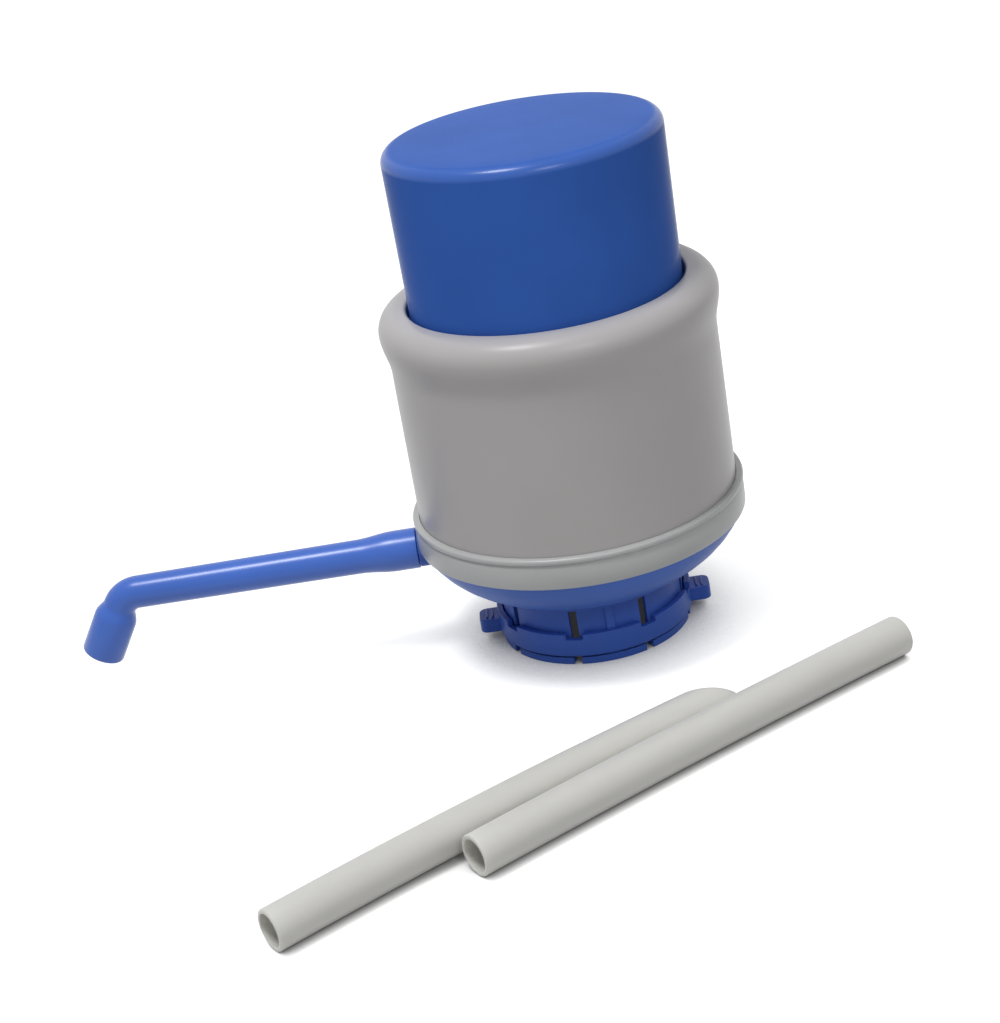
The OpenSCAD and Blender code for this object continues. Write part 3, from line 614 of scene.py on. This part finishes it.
tube_r = 0.00625
tube_bore_r = 0.00495
tube_len = 0.161
slant = 0.018
pair_middle = (-0.0039, -0.1104, tube_r)
pair_turn = math.radians(33.5)
half_shift = 0.029
half_spacing = 0.00645
end_round = 0.0006
stations = 24
tube_white = moulded("tube white plastic", (0.695, 0.690, 0.650), 0.03, 0.36, streaks=(30, 200, 200))
milky = tube_white.node_tree.nodes["Principled BSDF"]
milky.inputs["Subsurface Weight"].default_value = 0.6
milky.inputs["Subsurface Radius"].default_value = (1, 1, 0.9)
milky.inputs["Subsurface Scale"].default_value = 0.004
for name, side, bow in (("left", -1, 0.0022), ("right", 1, 0.0012)):
    tube = bmesh.new()
    turned(tube, [(tube_bore_r, 0), (tube_r, 0)]
           + [(tube_r, tube_len * step / stations) for step in range(1, stations + 1)]
           + [(tube_bore_r, tube_len * step / stations) for step in range(stations, 0, -1)], 64)
    round_off(tube, tube_r, 0, end_round, 4)
    if name == "left":
        cut = bmesh.ops.bisect_plane(tube, geom=tube.verts[:] + tube.edges[:] + tube.faces[:],
                                     plane_co=(0, -tube_r, tube_len), plane_no=(0, slant, 2 * tube_r),
                                     clear_outer=True)["geom_cut"]
        bmesh.ops.bridge_loops(tube, edges=[g for g in cut if isinstance(g, bmesh.types.BMEdge)])
    else:
        round_off(tube, tube_r, tube_len, end_round, 4)
    for v in tube.verts:
        v.co.y += bow * 4 * v.co.z / tube_len * (1 - v.co.z / tube_len)
    lie = (Matrix.Translation(pair_middle) @ Matrix.Rotation(pair_turn, 4, "Z")
           @ Matrix.Translation((side * half_shift - tube_len / 2, -side * half_spacing, 0))
           @ Matrix.Rotation(math.radians(90), 4, "Y"))
    bmesh.ops.transform(tube, matrix=lie, verts=tube.verts[:])
    made(tube, "tube_" + name, tube_white, name + "_tube", ["dip_tube_" + name], edge=0.00015)


# Bellows: the pleated air bag between cap and deck, moulded in black rubber. Its foot is clamped to the
# deck and its head holds the plate under the cap; the real bag folds as the cap goes down, but here it is
# drawn at rest, as one rigid piece on the housing.

def rubber(name, colour, roughness):
    """Moulded rubber with a slight bloom."""
    finish = bpy.data.materials.new(name)
    finish.use_nodes = True
    nodes, links = finish.node_tree.nodes, finish.node_tree.links
    shader = nodes["Principled BSDF"]
    place = nodes.new("ShaderNodeTexCoord")
    bloom = nodes.new("ShaderNodeTexNoise")
    bloom.inputs["Scale"].default_value = 60
    bloom.inputs["Detail"].default_value = 6
    links.new(place.outputs["Object"], bloom.inputs["Vector"])
    shades = nodes.new("ShaderNodeValToRGB")
    shades.color_ramp.elements[0].color = (*[c * 0.8 for c in colour], 1)
    shades.color_ramp.elements[1].color = (*[c * 1.5 for c in colour], 1)
    links.new(bloom.outputs["Fac"], shades.inputs["Fac"])
    links.new(shades.outputs["Color"], shader.inputs["Base Color"])
    skin = nodes.new("ShaderNodeTexNoise")
    skin.inputs["Scale"].default_value = 1800
    links.new(place.outputs["Object"], skin.inputs["Vector"])
    relief = nodes.new("ShaderNodeBump")
    relief.inputs["Strength"].default_value = 0.4
    relief.inputs["Distance"].default_value = 0.00003
    links.new(skin.outputs["Fac"], relief.inputs["Height"])
    links.new(relief.outputs["Normal"], shader.inputs["Normal"])
    shader.inputs["Roughness"].default_value = roughness
    return finish


pleats = 8
pleat_foot = 0.0518
pleat_top = 0.1564
pleat_in_r = 0.029
pleat_out_r = 0.035
bag_wall = 0.0016
bag_foot_r = 0.0389
bag_mouth_r = 0.027
head_in_r = 0.020
head_out_r = 0.0315
plate_foot = 0.159
foot_top = barrel_foot + bag_wall
head_foot = plate_foot - bag_wall
fold_flat = 0.07

pitch = (pleat_top - pleat_foot) / pleats
outside = []
for pleat in range(pleats):
    low = pleat_foot + pleat * pitch
    outside += [(pleat_in_r, low + fold_flat * pitch), (pleat_out_r, low + (0.5 - fold_flat) * pitch),
                (pleat_out_r, low + (0.5 + fold_flat) * pitch), (pleat_in_r, low + (1 - fold_flat) * pitch)]
inside = [(r - bag_wall, z) for r, z in reversed(outside)]
folds = bmesh.new()
turned(folds, [(bag_mouth_r, barrel_foot), (bag_foot_r, barrel_foot), (bag_foot_r, foot_top),
               (pleat_in_r, foot_top)] + outside
       + [(pleat_in_r, head_foot), (head_out_r, head_foot), (head_out_r, plate_foot), (head_in_r, plate_foot),
          (head_in_r, head_foot), (pleat_in_r - bag_wall, head_foot)]
       + inside + [(pleat_in_r - bag_wall, foot_top), (bag_mouth_r, foot_top)], 96)
black_rubber = rubber("black rubber", (0.018, 0.018, 0.019), 0.5)
bag = made(folds, "air_bag", black_rubber, "housing", ["bellows"], edge=0.0003)
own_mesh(bag)


# Return spring: one length of steel wire wound into a coil with closed ends. It stands loose inside the
# bellows, on the deck, and lifts the cap again after each stroke.

wire_r = 0.0009
coil_r = 0.0115
coil_foot = 0.04695
coil_head = 0.15805
closed_pitch = 0.00234
open_turns = 7
steps_per_turn = 40
open_pitch = (coil_head - coil_foot - 2 * closed_pitch) / open_turns

coil = bmesh.new()
wire = bmesh.ops.create_circle(coil, cap_ends=True, segments=10, radius=wire_r)["verts"]
bmesh.ops.rotate(coil, cent=(0, 0, 0), matrix=Matrix.Rotation(math.radians(90), 3, "X"), verts=wire)
bmesh.ops.translate(coil, vec=(coil_r, 0, coil_foot), verts=wire)
end = wire[0].link_faces[:]
for turns, rise in ((1, closed_pitch), (open_turns, open_pitch), (1, closed_pitch)):
    grown = bmesh.ops.spin(coil, geom=end, cent=(0, 0, 0), axis=(0, 0, 1), dvec=(0, 0, rise / steps_per_turn),
                           angle=math.tau * turns, steps=steps_per_turn * turns)["geom_last"]
    end = [g for g in grown if isinstance(g, bmesh.types.BMFace)]
spring = made(coil, "coil_spring", screw_steel, "housing", ["return_spring"])
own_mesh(spring)


# Inner mouldings: the plate under the cap, the deck, the clamp ring, the elbow and its nut, moulded in
# natural-white polypropylene. The deck and the clamp ring are held by screws, and the elbow by its nut.

inner_white = moulded("inner white plastic", (0.70, 0.70, 0.67), 0.02, 0.4)
for node in ("bellows_top_plate", "valve_deck", "bellows_clamp_ring", "water_elbow", "elbow_nut"):
    finished(node, inner_white)


# Seals: washers and rings cut or moulded in black rubber. They lie between deck and base, elbow and base,
# jug's rim and collar, and in the groove of the spout, and keep air and water apart.

for node in ("deck_seal", "elbow_seal", "neck_gasket", "spout_o_ring"):
    finished(node, black_rubber)


# Valves: two umbrella valves moulded in clear silicone, each with its stem pulled through the middle hole
# of its plate. One hangs under the top plate and one under the deck.

silicone = bpy.data.materials.new("clear silicone")
silicone.use_nodes = True
valve_nodes, valve_links = silicone.node_tree.nodes, silicone.node_tree.links
valve_shader = valve_nodes["Principled BSDF"]
valve_place = valve_nodes.new("ShaderNodeTexCoord")
haze = valve_nodes.new("ShaderNodeTexNoise")
haze.inputs["Scale"].default_value = 200
valve_links.new(valve_place.outputs["Object"], haze.inputs["Vector"])
milk = valve_nodes.new("ShaderNodeValToRGB")
milk.color_ramp.elements[0].color = (0.66, 0.69, 0.72, 1)
milk.color_ramp.elements[1].color = (0.80, 0.82, 0.84, 1)
valve_links.new(haze.outputs["Fac"], milk.inputs["Fac"])
valve_links.new(milk.outputs["Color"], valve_shader.inputs["Base Color"])
valve_shader.inputs["Roughness"].default_value = 0.3
valve_shader.inputs["Subsurface Weight"].default_value = 0.25
valve_shader.inputs["Subsurface Radius"].default_value = (0.003, 0.003, 0.003)
for node in ("intake_valve", "outlet_valve"):
    finished(node, silicone)


# The table and the room: a plain white top, which keeps a soft shadow of the pump, in an evenly white room.
# The top's white glow, which the camera sees, carries painted shade: it is dimmed where something stands
# close over it.

def seen_white(nodes, links):
    """Gives 1 for rays from the camera, a gloss or a clear part, and 0 for the light on the pump."""
    rays = nodes.new("ShaderNodeLightPath")
    first = nodes.new("ShaderNodeMath")
    first.operation = "MAXIMUM"
    links.new(rays.outputs["Is Camera Ray"], first.inputs[0])
    links.new(rays.outputs["Is Glossy Ray"], first.inputs[1])
    second = nodes.new("ShaderNodeMath")
    second.operation = "MAXIMUM"
    links.new(first.outputs["Value"], second.inputs[0])
    links.new(rays.outputs["Is Transmission Ray"], second.inputs[1])
    return second.outputs["Value"]


table = bmesh.new()
bmesh.ops.create_grid(table, x_segments=2, y_segments=2, size=4)
table_mesh = bpy.data.meshes.new("table")
table.to_mesh(table_mesh)
table.free()
table_top = bpy.data.objects.new("table", table_mesh)
bpy.context.scene.collection.objects.link(table_top)
table_white = bpy.data.materials.new("table white")
table_white.use_nodes = True
table_nodes, table_links = table_white.node_tree.nodes, table_white.node_tree.links
table_nodes.remove(table_nodes["Principled BSDF"])
matt = table_nodes.new("ShaderNodeBsdfDiffuse")
matt.inputs["Color"].default_value = (0.5, 0.5, 0.5, 1)
lift = table_nodes.new("ShaderNodeEmission")
# painted shade: ambient occlusion dims the top's glow near the pump, darkest under it and inside the collar
open_sky = table_nodes.new("ShaderNodeAmbientOcclusion")
open_sky.samples = 8
open_sky.inputs["Distance"].default_value = 0.09
painted_shade_glow = table_nodes.new("ShaderNodeMapRange")
painted_shade_glow.inputs["From Min"].default_value = 0.22
painted_shade_glow.inputs["From Max"].default_value = 0.62
painted_shade_glow.inputs["To Min"].default_value = 0.02
painted_shade_glow.inputs["To Max"].default_value = 0.86
table_links.new(open_sky.outputs["AO"], painted_shade_glow.inputs["Value"])
strength = table_nodes.new("ShaderNodeMath")
strength.operation = "MULTIPLY"
table_links.new(seen_white(table_nodes, table_links), strength.inputs[0])
table_links.new(painted_shade_glow.outputs["Result"], strength.inputs[1])
table_links.new(strength.outputs["Value"], lift.inputs["Strength"])
both = table_nodes.new("ShaderNodeAddShader")
table_links.new(matt.outputs["BSDF"], both.inputs[0])
table_links.new(lift.outputs["Emission"], both.inputs[1])
table_links.new(both.outputs["Shader"], table_nodes["Material Output"].inputs["Surface"])
table_mesh.materials.append(table_white)

room = bpy.data.worlds.new("white room")
bpy.context.scene.world = room
room.use_nodes = True
room_nodes, room_links = room.node_tree.nodes, room.node_tree.links
room_light = room_nodes["Background"]
room_level = room_nodes.new("ShaderNodeMapRange")
room_level.inputs["To Min"].default_value = 0.32
room_level.inputs["To Max"].default_value = 1.0
room_links.new(seen_white(room_nodes, room_links), room_level.inputs["Value"])
room_light.inputs["Color"].default_value = (1, 1, 1, 1)
room_links.new(room_level.outputs["Result"], room_light.inputs["Strength"])


# Light and camera: a soft lamp above on the left, a weaker one on the right beside the camera, and the
# photograph's view from slightly above, tilted as it was held.

def lamp(name, place, aim, size, watts):
    """Sets up a square lamp at a place, turned towards a point."""
    light = bpy.data.lights.new(name, "AREA")
    light.size = size
    light.energy = watts
    holder = bpy.data.objects.new(name, light)
    holder.location = place
    holder.rotation_euler = (Vector(aim) - Vector(place)).to_track_quat("-Z", "Y").to_euler()
    bpy.context.scene.collection.objects.link(holder)


lamp("lamp above", place=(-0.28, -0.25, 1.26), aim=(0, -0.03, 0.08), size=0.28, watts=8.4)
lamp("lamp by the camera", place=(0.3, -0.9, 0.8), aim=(0, 0, 0.08), size=0.25, watts=2.0)

lens = bpy.data.cameras.new("camera")
focal_pixels = 2200
picture_height = 1023
lens.lens = focal_pixels * lens.sensor_width / picture_height
lens.clip_start = 0.05
lens.clip_end = 20
camera = bpy.data.objects.new("camera", lens)
camera_place = (0, -0.6581, 0.3278)
pan, dip, tilt = 0.0392, 0.4068, -0.1725
camera.matrix_world = (Matrix.Translation(camera_place) @ Matrix.Rotation(pan, 4, "Z")
                       @ Matrix.Rotation(math.pi / 2 - dip, 4, "X") @ Matrix.Rotation(tilt, 4, "Z"))
bpy.context.scene.collection.objects.link(camera)
bpy.context.scene.camera = camera
bpy.context.scene.view_settings.view_transform = "Standard"
